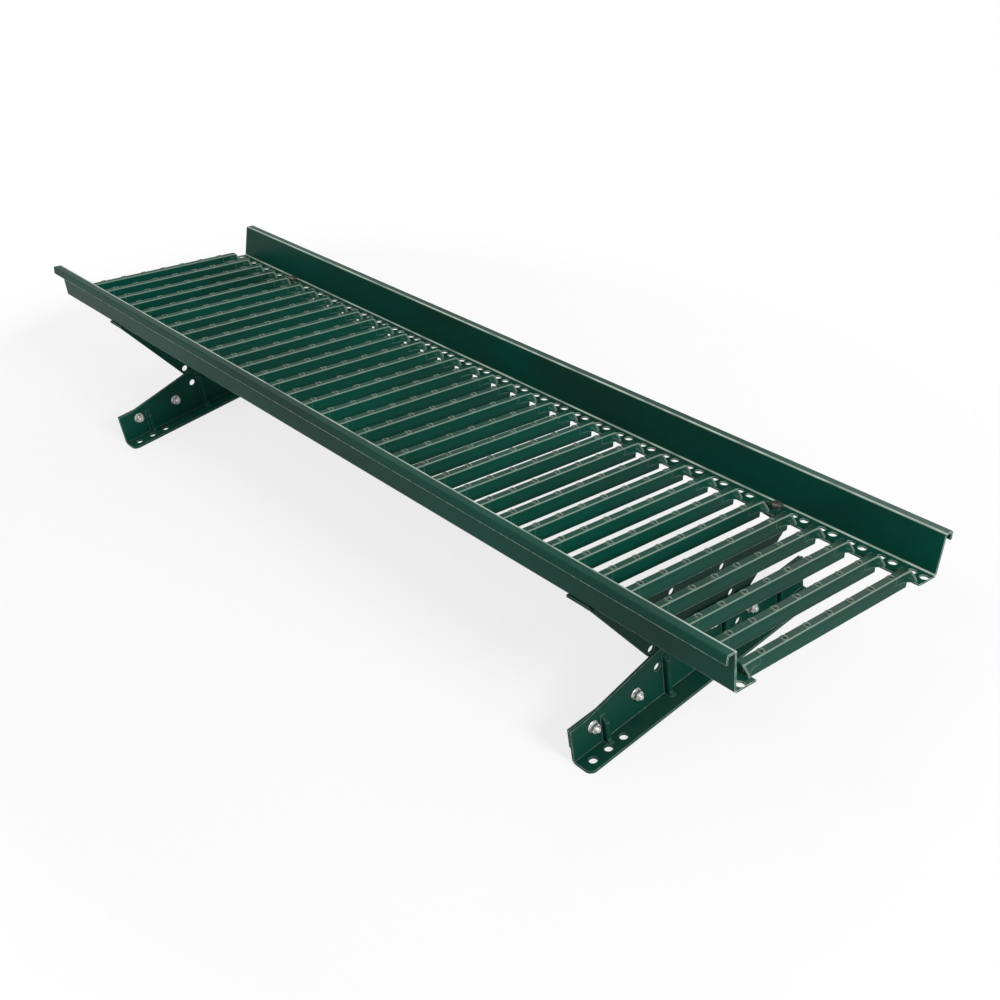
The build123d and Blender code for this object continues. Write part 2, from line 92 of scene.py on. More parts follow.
def make_painted_edge_highlight_group():
    """Painted edge highlight: one minus the cosine between the true and the rounded-off normal,
    broken up by noise, so that the mask is 1 along a fold or a cut edge and 0 on the flats."""
    group, start, end = new_group(
        "painted_edge_highlight",
        [("Vector", "NodeSocketVector", None), ("Radius", "NodeSocketFloat", 0.001),
         ("Patchiness", "NodeSocketFloat", 160.0)],
        [("Mask", "NodeSocketFloat")])
    link = group.links.new
    rounded = add_node(group, "ShaderNodeBevel", samples=6)
    flat = add_node(group, "ShaderNodeNewGeometry")
    cosine = add_node(group, "ShaderNodeVectorMath", operation="DOT_PRODUCT")
    spread = add_node(group, "ShaderNodeMapRange", {"From Min": 0.985, "From Max": 0.86})
    patches = add_node(group, "ShaderNodeTexNoise", {"Detail": 3.0})
    patch_range = add_node(group, "ShaderNodeMapRange",
                           {"From Min": 0.34, "From Max": 0.6, "To Min": 0.35})
    mask = add_node(group, "ShaderNodeMath", operation="MULTIPLY")
    link(start.outputs["Radius"], rounded.inputs["Radius"])
    link(rounded.outputs["Normal"], cosine.inputs[0])
    link(flat.outputs["Normal"], cosine.inputs[1])
    link(cosine.outputs["Value"], spread.inputs["Value"])
    link(start.outputs["Vector"], patches.inputs["Vector"])
    link(start.outputs["Patchiness"], patches.inputs["Scale"])
    link(patches.outputs["Fac"], patch_range.inputs["Value"])
    link(spread.outputs["Result"], mask.inputs[0])
    link(patch_range.outputs["Result"], mask.inputs[1])
    link(mask.outputs["Value"], end.inputs["Mask"])
    return group


def make_dust_group():
    """Fine dust: it lies where the surface faces up, thicker where a slow noise is high."""
    group, start, end = new_group(
        "dust", [("Vector", "NodeSocketVector", None), ("Amount", "NodeSocketFloat", 0.2)],
        [("Mask", "NodeSocketFloat")])
    link = group.links.new
    facing = add_node(group, "ShaderNodeNewGeometry")
    parts = add_node(group, "ShaderNodeSeparateXYZ")
    upward = add_node(group, "ShaderNodeMapRange", {"From Min": 0.4, "From Max": 0.95})
    cloud = add_node(group, "ShaderNodeTexNoise", {"Scale": 22.0, "Detail": 6.0})
    cloud_range = add_node(group, "ShaderNodeMapRange", {"From Min": 0.38, "From Max": 0.66})
    both = add_node(group, "ShaderNodeMath", operation="MULTIPLY")
    scaled = add_node(group, "ShaderNodeMath", operation="MULTIPLY")
    link(facing.outputs["Normal"], parts.inputs["Vector"])
    link(parts.outputs["Z"], upward.inputs["Value"])
    link(start.outputs["Vector"], cloud.inputs["Vector"])
    link(cloud.outputs["Fac"], cloud_range.inputs["Value"])
    link(upward.outputs["Result"], both.inputs[0])
    link(cloud_range.outputs["Result"], both.inputs[1])
    link(both.outputs["Value"], scaled.inputs[0])
    link(start.outputs["Amount"], scaled.inputs[1])
    link(scaled.outputs["Value"], end.inputs["Mask"])
    return group


def make_orange_peel_group():
    """Powder coat's orange peel: soft bumps a few millimetres across under fine grain."""
    group, start, end = new_group(
        "orange_peel", [("Vector", "NodeSocketVector", None), ("Scale", "NodeSocketFloat", 350.0)],
        [("Height", "NodeSocketFloat")])
    link = group.links.new
    peel = add_node(group, "ShaderNodeTexNoise", {"Detail": 2.0, "Roughness": 0.45})
    finer = add_node(group, "ShaderNodeMath", {1: 5.0}, operation="MULTIPLY")
    grain = add_node(group, "ShaderNodeTexNoise", {"Detail": 3.0})
    blend = add_node(group, "ShaderNodeMath", {1: 0.25}, operation="MULTIPLY_ADD")
    link(start.outputs["Vector"], peel.inputs["Vector"])
    link(start.outputs["Scale"], peel.inputs["Scale"])
    link(start.outputs["Scale"], finer.inputs[0])
    link(start.outputs["Vector"], grain.inputs["Vector"])
    link(finer.outputs["Value"], grain.inputs["Scale"])
    link(grain.outputs["Fac"], blend.inputs[0])
    link(peel.outputs["Fac"], blend.inputs[2])
    link(blend.outputs["Value"], end.inputs["Height"])
    return group


painted_edge_highlight = make_painted_edge_highlight_group()
dust = make_dust_group()
orange_peel = make_orange_peel_group()


def make_coat(name, stretch, cloudiness, highlight_strength, dust_amount, painted_fold_highlights=False):
    """Moss green powder coat. Slow clouds, stretched along the piece, shift its colour to a
    duller shade; folds and cut edges get a pale painted highlight; dust lightens and roughens
    what faces up. Where the piece carries a point attribute of painted highlight, it is added."""
    material = bpy.data.materials.new(name)
    material.use_nodes = True
    tree = material.node_tree
    link = tree.links.new
    shader = tree.nodes["Principled BSDF"]
    shader.inputs["Specular IOR Level"].default_value = 0.06
    place = add_node(tree, "ShaderNodeTexCoord")
    stretched = add_node(tree, "ShaderNodeMapping", {"Scale": stretch})
    clouds = add_node(tree, "ShaderNodeTexNoise", {"Scale": 7.0, "Detail": 4.0, "Distortion": 0.6})
    cloud_range = add_node(tree, "ShaderNodeMapRange",
                           {"From Min": 0.36, "From Max": 0.68, "To Max": cloudiness})
    coat_colour = add_node(tree, "ShaderNodeMix", {MIX_A: COAT_GREEN, MIX_B: COAT_SHADE},
                           data_type="RGBA")
    # Painted highlight: folds and cut edges turn pale in place of gloss highlights.
    painted_highlight = add_node(tree, "ShaderNodeGroup", node_tree=painted_edge_highlight)
    painted_highlight.inputs["Radius"].default_value = EDGE_HIGHLIGHT_RADIUS
    painted_highlight_amount = add_node(tree, "ShaderNodeMath", {1: highlight_strength}, operation="MULTIPLY", label="highlight_strength")
    painted_highlight_colour = add_node(tree, "ShaderNodeMix", {MIX_B: COAT_HIGHLIGHT}, data_type="RGBA")
    dusty = add_node(tree, "ShaderNodeGroup", node_tree=dust)
    dusty.inputs["Amount"].default_value = dust_amount
    dusty_colour = add_node(tree, "ShaderNodeMix", {MIX_B: COAT_DUST}, data_type="RGBA")
    peel = add_node(tree, "ShaderNodeGroup", node_tree=orange_peel)
    gloss = add_node(tree, "ShaderNodeMapRange", {"To Min": 0.24, "To Max": 0.42})
    dulled = add_node(tree, "ShaderNodeMath", {1: 0.5}, operation="MULTIPLY_ADD")
    bump = add_node(tree, "ShaderNodeBump", {"Strength": 0.12, "Distance": 0.0002})
    link(place.outputs["Object"], stretched.inputs["Vector"])
    link(stretched.outputs["Vector"], clouds.inputs["Vector"])
    link(clouds.outputs["Fac"], cloud_range.inputs["Value"])
    link(cloud_range.outputs["Result"], coat_colour.inputs["Factor"])
    for group_node in (painted_highlight, dusty, peel):
        link(place.outputs["Object"], group_node.inputs["Vector"])
    # The slats' point attribute paints the same highlight on their folds, collar lips and flare
    # rims.
    if painted_fold_highlights:
        fold_highlight = add_node(tree, "ShaderNodeAttribute", attribute_name="fold_highlight")
        either = add_node(tree, "ShaderNodeMath", operation="MAXIMUM")
        link(fold_highlight.outputs["Fac"], either.inputs[0])
        link(painted_highlight.outputs["Mask"], either.inputs[1])
        link(either.outputs["Value"], painted_highlight_amount.inputs[0])
    else:
        link(painted_highlight.outputs["Mask"], painted_highlight_amount.inputs[0])
    link(painted_highlight_amount.outputs["Value"], painted_highlight_colour.inputs["Factor"])
    link(coat_colour.outputs[MIX_RESULT], painted_highlight_colour.inputs[MIX_A])
    link(dusty.outputs["Mask"], dusty_colour.inputs["Factor"])
    link(painted_highlight_colour.outputs[MIX_RESULT], dusty_colour.inputs[MIX_A])
    link(dusty_colour.outputs[MIX_RESULT], shader.inputs["Base Color"])
    link(clouds.outputs["Fac"], gloss.inputs["Value"])
    link(dusty.outputs["Mask"], dulled.inputs[0])
    link(gloss.outputs["Result"], dulled.inputs[2])
    link(dulled.outputs["Value"], shader.inputs["Roughness"])
    link(peel.outputs["Height"], bump.inputs["Height"])
    link(bump.outputs["Normal"], shader.inputs["Normal"])
    return material


def dress(node, material):
    """Gives a CAD node its finish."""
    frame["nodes"][node].data.materials.clear()
    frame["nodes"][node].data.materials.append(material)


arm_coat = make_coat("arm_coat", (1.0, 0.35, 1.0), 0.6, 0.35, 0.05)
for side in ("left", "right"):
    for piece in ("roof_arm", "low_clamp_plate", "high_clamp_plate"):
        dress(f"{side}_{piece}", arm_coat)


# Clamp bolts, washers and nuts
# Four M6 bolts through each arm and its backing plates, zinc plated, with the threaded
# ends and hexagon nuts on the outer side of the web.

ROOF_SLOPE = math.radians(11.0)
ARM_DEPTH = 43.5 * MM
CLAMP_REACHES = (87.0 * MM, 147.0 * MM)
CLAMP_LEVEL = 31.0 * MM - ARM_DEPTH
M6_RADIUS = 3.0 * MM
M6_PITCH = 1.0 * MM
M6_ACROSS_FLATS = 10.0 * MM
M6_HEAD_HEIGHT = 4.0 * MM
WASHER_RADIUS = 6.8 * MM
WASHER_LOWER_EDGE = 0.3 * MM
WASHER_UPPER_EDGE = 0.5 * MM
WASHER_BORE_EDGE = (0.4 * MM, 0.2 * MM)
MERGE_DISTANCE = 1e-6
FLAT_EDGE = 1e-7
ZINC_BRIGHT = (0.74, 0.73, 0.70, 1)
ZINC_DULL = (0.38, 0.375, 0.36, 1)


def make_zinc(name, dull, bright):
    """Zinc plate: a spangle of bright and dull cells, turning marks, and darker grime in
    the noise's low places."""
    material = bpy.data.materials.new(name)
    material.use_nodes = True
    tree = material.node_tree
    link = tree.links.new
    shader = tree.nodes["Principled BSDF"]
    shader.inputs["Metallic"].default_value = 0.85
    place = add_node(tree, "ShaderNodeTexCoord")
    cells = add_node(tree, "ShaderNodeTexVoronoi", {"Scale": 900.0})
    marks = add_node(tree, "ShaderNodeTexNoise", {"Scale": 260.0, "Detail": 5.0})
    mixed = add_node(tree, "ShaderNodeMath", operation="MULTIPLY")
    colour = add_node(tree, "ShaderNodeMix", {MIX_A: dull, MIX_B: bright}, data_type="RGBA")
    level = add_node(tree, "ShaderNodeMapRange", {"From Min": 0.3, "From Max": 0.62})
    gloss = add_node(tree, "ShaderNodeMapRange", {"To Min": 0.22, "To Max": 0.46})
    bump = add_node(tree, "ShaderNodeBump", {"Strength": 0.2, "Distance": 0.0001})
    for texture in (cells, marks):
        link(place.outputs["Object"], texture.inputs["Vector"])
    link(marks.outputs["Fac"], level.inputs["Value"])
    link(level.outputs["Result"], colour.inputs["Factor"])
    link(colour.outputs[MIX_RESULT], shader.inputs["Base Color"])
    link(cells.outputs["Distance"], mixed.inputs[0])
    link(marks.outputs["Fac"], mixed.inputs[1])
    link(marks.outputs["Fac"], gloss.inputs["Value"])
    link(gloss.outputs["Result"], shader.inputs["Roughness"])
    link(mixed.outputs["Value"], bump.inputs["Height"])
    link(bump.outputs["Normal"], shader.inputs["Normal"])
    return material


zinc = make_zinc("zinc_plate", ZINC_DULL, ZINC_BRIGHT)


def grid_faces(rows, columns, first=0):
    """The quads of a rows by columns grid that closes on itself along its columns."""
    row, column = np.meshgrid(np.arange(rows - 1), np.arange(columns), indexing="ij")
    beside = (column + 1) % columns
    corners = (row * columns + column, row * columns + beside,
               (row + 1) * columns + beside, (row + 1) * columns + column)
    return first + np.stack(corners, axis=-1).reshape(-1, 4)


def turned(radii, levels, columns):
    """A turned surface about Z: row i has radius radii[i] (one value or one per angle) and
    height levels[i], at equal steps of the angle. Returns a rows by columns by 3 array."""
    angle = np.linspace(0, 2 * math.pi, columns, endpoint=False)
    radius = np.stack([np.broadcast_to(value, columns) for value in radii])
    height = np.stack([np.broadcast_to(value, columns) for value in levels])
    return np.stack([radius * np.cos(angle), radius * np.sin(angle), height], axis=-1)


def hexagon_rings(across_flats, height, bore, columns=48):
    """A hexagon nut from Z 0 up, or a bolt head where bore is 0. The flat's radius is half
    the width over the cosine of the angle from the flat's middle; a cone of 30 degrees cuts
    the corners at the top."""
    angle = np.linspace(0, 2 * math.pi, columns, endpoint=False)
    from_flat = (angle + math.pi / 6) % (math.pi / 3) - math.pi / 6
    side = across_flats / 2 / np.cos(from_flat)
    crown = 0.47 * across_flats
    shoulder = height - (side - crown) * math.tan(math.radians(30))
    lead = min(0.08 * across_flats, height / 4) if bore else 0.0
    foot = side * 0.99
    foot_height = 0.02 * height
    radii = [bore + lead, foot, side, side, crown, bore + lead, bore]
    levels = [0, 0, foot_height, shoulder, height, height, height - lead]
    if bore:
        radii += [bore, bore + lead]
        levels += [lead, 0]
    return turned(radii, levels, columns)


def threaded_rings(radius, pitch, low, high, columns=24):
    """A threaded bolt end: its radius falls and rises once for each pitch of height, one
    turn later at each full angle, and its tip is chamfered and closed."""
    angle = np.linspace(0, 2 * math.pi, columns, endpoint=False)
    tip_height = 0.3 * pitch
    heights = np.arange(low, high - tip_height, pitch / 4)
    turn = (heights[:, None] / pitch - angle[None, :] / (2 * math.pi)) % 1.0
    depth = 0.5 * pitch * np.abs(2 * turn - 1)
    thread = radius - depth
    tip = np.minimum(thread[-1], radius - 0.6 * pitch)
    radii = list(thread) + [tip, np.zeros(columns)]
    levels = list(heights) + [high, high]
    return turned(radii, levels, columns)


def join_rings(parts):
    """Stacks several ring grids into one list of points and one list of quads."""
    points = []
    faces = []
    count = 0
    for part in parts:
        rows, columns = part.shape[:2]
        points.append(part.reshape(-1, 3))
        faces.append(grid_faces(rows, columns, count))
        count += rows * columns
    return np.concatenate(points), np.concatenate(faces)


def headed_bolt(across_flats, head_height, radius, pitch, length):
    """A bolt whose head hangs below Z 0 and whose threaded shank rises to the length."""
    head = hexagon_rings(across_flats, head_height, 0)
    head[..., 2] *= -1
    return join_rings([head, threaded_rings(radius, pitch, 0, length)])


def place_copies(points, faces, matrices):
    """One copy of the points and quads under each 4 by 4 matrix."""
    stack = np.array([np.array(matrix) for matrix in matrices])
    moved = np.einsum("kij,nj->kni", stack[:, :3, :3], points) + stack[:, None, :3, 3]
    shift = np.arange(len(stack))[:, None, None] * len(points)
    return moved.reshape(-1, 3), (faces[None] + shift).reshape(-1, 4)


def make_piece(name, points, faces, material, sharp=32.0):
    """A mesh object from points and quads, with doubles merged and edges sharp past an angle."""
    mesh = bpy.data.meshes.new(name)
    mesh.from_pydata(points.tolist(), [], faces.tolist())
    work = bmesh.new()
    work.from_mesh(mesh)
    bmesh.ops.remove_doubles(work, verts=work.verts, dist=MERGE_DISTANCE)
    bmesh.ops.dissolve_degenerate(work, edges=work.edges, dist=FLAT_EDGE)
    bmesh.ops.recalc_face_normals(work, faces=work.faces)
    work.to_mesh(mesh)
    work.free()
    mesh.polygons.foreach_set("use_smooth", np.ones(len(mesh.polygons), dtype=bool))
    mesh.set_sharp_from_angle(angle=math.radians(sharp))
    mesh.materials.append(material)
    piece = bpy.data.objects.new(name, mesh)
    bpy.context.scene.collection.objects.link(piece)
    return piece


def stand_for(name, node, body, slot, points, faces, material, sharp=32.0):
    """Makes a piece that replaces one CAD node and rides on that node's body."""
    piece = make_piece(name, points, faces, material, sharp)
    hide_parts(node)
    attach(piece, body)
    return piece


def pivot_of(side):
    """The middle of one slope joint's axis."""
    return Vector(next(joint["pos_m"] for joint in frame["record"]["behaviour"]["joints"]
                       if joint["name"] == f"{side}_slope"))


def on_arm(side, x, along, away):
    """The matrix that stands a fastener built along Z on the arm, pointing along +X: along
    is measured up the slope from the pivot and away square to the roof."""
    pivot = pivot_of(side)
    slope = Matrix.Rotation(ROOF_SLOPE, 4, "X")
    return (Matrix.Translation(pivot) @ slope @ Matrix.Translation((x - pivot.x, along, away))
            @ Matrix.Rotation(math.pi / 2, 4, "Y"))


def x_range(node):
    """The lowest and highest X of a CAD node."""
    low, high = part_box(node)
    return low[0], high[0]


clamp_places = [(end * reach, CLAMP_LEVEL) for end in (-1, 1) for reach in CLAMP_REACHES]
for side in ("left", "right"):
    bolt_low, bolt_high = x_range(f"{side}_clamp_bolts")
    washer_low, washer_high = x_range(f"{side}_clamp_washers")
    nut_low, nut_high = x_range(f"{side}_clamp_nuts")
    points, faces = headed_bolt(M6_ACROSS_FLATS, M6_HEAD_HEIGHT, M6_RADIUS, M6_PITCH,
                                bolt_high - bolt_low - M6_HEAD_HEIGHT)
    places = [on_arm(side, bolt_low + M6_HEAD_HEIGHT, *place) for place in clamp_places]
    stand_for(f"{side}_clamp_bolt_set", f"{side}_clamp_bolts", f"{side}_arm", "zinc",
              *place_copies(points, faces, places), zinc)
    thickness = washer_high - washer_low
    washer = turned([M6_RADIUS, WASHER_RADIUS - WASHER_LOWER_EDGE, WASHER_RADIUS, WASHER_RADIUS,
                     WASHER_RADIUS - WASHER_UPPER_EDGE, M6_RADIUS + WASHER_BORE_EDGE[0],
                     M6_RADIUS, M6_RADIUS],
                    [0, 0, WASHER_LOWER_EDGE, thickness - WASHER_UPPER_EDGE, thickness,
                     thickness, thickness - WASHER_BORE_EDGE[1], 0], 40)
    places = [on_arm(side, washer_low, *place) for place in clamp_places]
    stand_for(f"{side}_clamp_washer_set", f"{side}_clamp_washers", f"{side}_arm", "zinc",
              *place_copies(*join_rings([washer]), places), zinc)
    nut = hexagon_rings(M6_ACROSS_FLATS, nut_high - nut_low, M6_RADIUS)
    places = [on_arm(side, nut_low, *place) for place in clamp_places]
    stand_for(f"{side}_clamp_nut_set", f"{side}_clamp_nuts", f"{side}_arm", "zinc",
              *place_copies(*join_rings([nut]), places), zinc)


# Slope joints
# Each arm turns on one M10 bolt in the upper bracket's lug and is locked by two M8 bolts
# that run in curved slots, all with flange nuts.

M8_RADIUS = 4.0 * MM
M8_PITCH = 1.25 * MM
M8_ACROSS_FLATS = 13.0 * MM
M8_HEAD_HEIGHT = 5.3 * MM
M8_NUT_HEIGHT = 6.5 * MM
M8_FLANGE_RADIUS = 8.5 * MM
M10_RADIUS = 5.0 * MM
M10_PITCH = 1.5 * MM
M10_ACROSS_FLATS = 16.0 * MM
M10_HEAD_HEIGHT = 6.4 * MM
M10_FLANGE_RADIUS = 10.5 * MM
FLANGE_EDGE = (0.3 * MM, 0.2 * MM)
FLANGE_RIM = 0.9 * MM
FLANGE_TOP = 1.9 * MM
LOCK_REACH = 26.0 * MM
LOCK_ANGLE = math.radians(22.0)


def flanged_nut(across_flats, height, bore, flange_radius):
    """A hexagon nut that grows out of a round flange with a sloping rim."""
    neck = across_flats / 2 * 0.98
    flange = turned([bore, flange_radius - FLANGE_EDGE[0], flange_radius, flange_radius, neck, bore],
                    [0, 0, FLANGE_EDGE[1], FLANGE_RIM, FLANGE_TOP, FLANGE_TOP], 48)
    return join_rings([flange, hexagon_rings(across_flats, height, bore)])


lock_places = [(way * LOCK_REACH * math.cos(LOCK_ANGLE), LOCK_REACH * math.sin(LOCK_ANGLE))
               for way in (-1, 1)]
for side in ("left", "right"):
    pivot_low, pivot_high = x_range(f"{side}_pivot_bolt")
    points, faces = headed_bolt(M10_ACROSS_FLATS, M10_HEAD_HEIGHT, M10_RADIUS, M10_PITCH,
                                pivot_high - pivot_low - M10_HEAD_HEIGHT)
    stand_for(f"{side}_pivot_screw", f"{side}_pivot_bolt", f"{side}_arm", "zinc",
              *place_copies(points, faces, [on_arm(side, pivot_low + M10_HEAD_HEIGHT, 0, 0)]), zinc)
    lock_low, lock_high = x_range(f"{side}_lock_bolts")
    points, faces = headed_bolt(M8_ACROSS_FLATS, M8_HEAD_HEIGHT, M8_RADIUS, M8_PITCH,
                                lock_high - lock_low - M8_HEAD_HEIGHT)
    places = [on_arm(side, lock_low + M8_HEAD_HEIGHT, *place) for place in lock_places]
    stand_for(f"{side}_lock_screws", f"{side}_lock_bolts", f"{side}_arm", "zinc",
              *place_copies(points, faces, places), zinc)
    nut_low, nut_high = x_range(f"{side}_joint_nuts")
    large = flanged_nut(M10_ACROSS_FLATS, nut_high - nut_low, M10_RADIUS, M10_FLANGE_RADIUS)
    small = flanged_nut(M8_ACROSS_FLATS, M8_NUT_HEIGHT, M8_RADIUS, M8_FLANGE_RADIUS)
    large_points, large_faces = place_copies(*large, [on_arm(side, nut_low, 0, 0)])
    places = [on_arm(side, nut_low, *place) for place in lock_places]
    small_points, small_faces = place_copies(*small, places)
    stand_for(f"{side}_flange_nut_set", f"{side}_joint_nuts", f"{side}_arm", "zinc",
              np.concatenate([large_points, small_points]),
              np.concatenate([large_faces, small_faces + len(large_points)]), zinc)


# Upper brackets
# Folded steel gussets that hang under the deck, with tabs folded under both rails. They
# wear the same coat as the arms.

bracket_coat = make_coat("bracket_coat", (1.0, 0.5, 1.0), 0.9, 0.35, 0.05)
for side in ("left", "right"):
    dress(f"{side}_upper_bracket", bracket_coat)


# Deck rails
# Two long folded channels: a flange with a row of holes, a leaning wall, and a narrow top
# that turns back down. The coat clouds along their length, with a pale painted highlight on two
# folds.

RAIL_HALF_WIDTH = 147.35 * MM
RAIL_HEIGHT = 43.8 * MM
RAIL_LEAN = 5.7 * MM
TOP_LINE_SHIFT = 1.2 * MM
LINE_HIGHLIGHT_RADIUS = 1.8 * MM
rail_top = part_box("near_rail")[1][2]
deck_level = rail_top - RAIL_HEIGHT
# Each painted highlight line runs along X at one distance from the middle of the deck and one
# height.
fold_line_highlights = [(RAIL_HALF_WIDTH, deck_level),
                (RAIL_HALF_WIDTH + RAIL_LEAN + TOP_LINE_SHIFT, rail_top)]


def make_line_highlight_group():
    """A painted highlight line: 1 within the core of a line that runs along X on both rails, and 0
    past its radius, by the distance in the absolute Y and the Z, with slow breaks."""
    group, start, end = new_group(
        "painted_line_highlight",
        [("Vector", "NodeSocketVector", None), ("Line", "NodeSocketVector", None),
         ("Radius", "NodeSocketFloat", 0.002)],
        [("Mask", "NodeSocketFloat")])
    link = group.links.new
    folded = add_node(group, "ShaderNodeVectorMath", operation="ABSOLUTE")
    flat = add_node(group, "ShaderNodeVectorMath", {1: (0, 1, 1)}, operation="MULTIPLY")
    distance = add_node(group, "ShaderNodeVectorMath", operation="DISTANCE")
    core = add_node(group, "ShaderNodeMath", {1: 0.45}, operation="MULTIPLY")
    line = add_node(group, "ShaderNodeMapRange")
    breaks = add_node(group, "ShaderNodeTexNoise", {"Scale": 30.0, "Detail": 3.0})
    break_range = add_node(group, "ShaderNodeMapRange",
                           {"From Min": 0.35, "From Max": 0.6, "To Min": 0.45})
    mask = add_node(group, "ShaderNodeMath", operation="MULTIPLY")
    link(start.outputs["Vector"], folded.inputs[0])
    link(folded.outputs["Vector"], flat.inputs[0])
    link(flat.outputs["Vector"], distance.inputs[0])
    link(start.outputs["Line"], distance.inputs[1])
    link(distance.outputs["Value"], line.inputs["Value"])
    link(start.outputs["Radius"], line.inputs["From Min"])
    link(start.outputs["Radius"], core.inputs[0])
    link(core.outputs["Value"], line.inputs["From Max"])
    link(start.outputs["Vector"], breaks.inputs["Vector"])
    link(breaks.outputs["Fac"], break_range.inputs["Value"])
    link(line.outputs["Result"], mask.inputs[0])
    link(break_range.outputs["Result"], mask.inputs[1])
    link(mask.outputs["Value"], end.inputs["Mask"])
    return group


def add_line_highlights(material, lines, radius):
    """Adds painted highlight lines to a coat: the largest of their masks and the coat's own painted
    edge highlight.
    """
    tree = material.node_tree
    place = next(node for node in tree.nodes if node.type == "TEX_COORD")
    amount = next(node for node in tree.nodes if node.label == "highlight_strength")
    painted_highlight = amount.inputs[0].links[0].from_socket
    for reach, height in lines:
        line = add_node(tree, "ShaderNodeGroup", node_tree=painted_line_highlight)
        line.inputs["Line"].default_value = (0, reach, height)
        line.inputs["Radius"].default_value = radius
        either = add_node(tree, "ShaderNodeMath", operation="MAXIMUM")
        tree.links.new(place.outputs["Object"], line.inputs["Vector"])
        tree.links.new(line.outputs["Mask"], either.inputs[0])
        tree.links.new(painted_highlight, either.inputs[1])
        painted_highlight = either.outputs["Value"]
    tree.links.new(painted_highlight, amount.inputs[0])


painted_line_highlight = make_line_highlight_group()
rail_coat = make_coat("rail_coat", (0.5, 1.0, 1.4), 0.8, 0.8, 0.02)
# Pale painted highlight lines along two folds of each rail.
add_line_highlights(rail_coat, fold_line_highlights, LINE_HIGHLIGHT_RADIUS)
for rail in ("near_rail", "far_rail"):
    dress(rail, rail_coat)


# Slats
# Thirty-five inverted channels of thin sheet with round bends. Each has seven grip collars
# burst up through its top. Its closed, rounded ends lap onto the rail flanges, and its walls
# flare out there.

SLAT_HALF_WIDTH = 4.675 * MM
SLAT_SHEET = 1.5 * MM
SLAT_BEND = 1.75 * MM
SLAT_CORNER = 3.0 * MM
LEAST_CORNER = 0.2 * MM
CORNER_POINTS = 5
STOP_POINTS = 4
SLAT_WALL_END = 4.8 * MM
SLAT_RISE = 9.0 * MM
SLAT_DROP = 8.5 * MM
GRIP_PITCH = 32.0 * MM
GRIP_COUNT = 7
GRIP_BORE = 2.5 * MM
GRIP_SIDES = 16
GRIP_LIP = (2.55 * MM, 0.8 * MM)
GRIP_CREST = (3.2 * MM, 1.0 * MM)
GRIP_SHOULDER = (3.95 * MM, 0.7 * MM)
GRIP_FOOT = (4.0 * MM, 0.9 * MM)
GRIP_NOTCH = 0.45
GRIP_BURST = 1.05
SLAT_LAP = 3.8 * MM
FLARE_REACH = 12.5 * MM
FLARE_HEIGHT = 8.2 * MM
FLARE_SINK = 0.05 * MM
FLARE_DEPTH = 0.3 * MM
FLARE_LENGTH = 20.0 * MM
FLARE_POWER = 1.5


def plan_outline(half_length, inset):
    """The slat's outline seen from above, moved in by the inset: a rectangle with round
    corners. Straight sides have doubled points where the lower walls stop."""
    radius = max(SLAT_CORNER - inset, LEAST_CORNER)
    across = SLAT_HALF_WIDTH - inset - radius
    along = half_length - inset - radius
    sweep = np.linspace(0, math.pi / 2, CORNER_POINTS)
    corners = []
    for quarter, (sx, sy) in enumerate(((1, 1), (-1, 1), (-1, -1), (1, -1))):
        angle = sweep + quarter * math.pi / 2
        corners.append(np.stack([sx * across + radius * np.cos(angle),
                                 sy * along + radius * np.sin(angle)], axis=-1))
    stop = half_length - SLAT_WALL_END
    side_x = SLAT_HALF_WIDTH - inset
    left_stops = np.array([[-side_x, stop], [-side_x, stop], [-side_x, -stop], [-side_x, -stop]])
    right_stops = -left_stops
    return np.concatenate([corners[0], corners[1], left_stops, corners[2], corners[3], right_stops])


def slat_shell(half_length):
    """The slat's skin: a profile of inset and height carried round the outline, from the
    inner top edge down the inside, round the rim and up the outside over the bend."""
    bottoms = np.zeros(len(plan_outline(half_length, 0)))
    first_stop = 2 * CORNER_POINTS
    inner_stops = np.array([first_stop + 1, first_stop + 2])
    bottoms[inner_stops] = -SLAT_DROP
    bottoms[inner_stops + first_stop + STOP_POINTS] = -SLAT_DROP
    bend = np.linspace(0, math.pi / 2, 6)
    insets = [SLAT_SHEET, SLAT_SHEET, 0.0] + list(SLAT_BEND * (1 - np.cos(bend)))
    levels = [SLAT_RISE - SLAT_SHEET, bottoms, bottoms]
    levels += list(SLAT_RISE - SLAT_BEND + SLAT_BEND * np.sin(bend))
    rings = []
    for inset, level in zip(insets, levels):
        outline = plan_outline(half_length, inset)
        rings.append(np.column_stack([outline, np.broadcast_to(level, len(outline))]))
    return np.stack(rings)


def pierced_cell(centre, half_width, level):
    """One cell of the top sheet: a ring of points on the bore, and one on the cell's border,
    which is the unit square stretched to the cell's half width and half pitch."""
    angle = np.arange(GRIP_SIDES) * 2 * math.pi / GRIP_SIDES
    circle = np.stack([np.cos(angle), np.sin(angle)], axis=-1)
    square = circle / np.abs(circle).max(axis=1, keepdims=True)
    bore = circle * GRIP_BORE
    border = square * (half_width, GRIP_PITCH / 2)
    rings = np.stack([bore, border]) + (0, centre)
    return np.concatenate([rings, np.full((2, GRIP_SIDES, 1), level)], axis=-1)


def grip_collar(centre):
    """A burst collar: its lip is highest at both ends along the slat and falls to a notch
    at each side, as the absolute sine of the angle to the power 0.7. Each ring has a radius
    and a share of that lift, and the foot a depth below the top."""
    angle = np.arange(GRIP_SIDES) * 2 * math.pi / GRIP_SIDES
    lift = GRIP_NOTCH + GRIP_BURST * np.abs(np.sin(angle)) ** 0.7
    raised = (GRIP_LIP, GRIP_CREST, GRIP_SHOULDER)
    radii = [GRIP_BORE] + [radius for radius, _ in raised] + [GRIP_FOOT[0]]
    levels = [SLAT_RISE - SLAT_SHEET] + [SLAT_RISE + height * lift for _, height in raised]
    levels.append(SLAT_RISE - GRIP_FOOT[1])
    return turned(radii, levels, GRIP_SIDES) + (0, centre, 0)


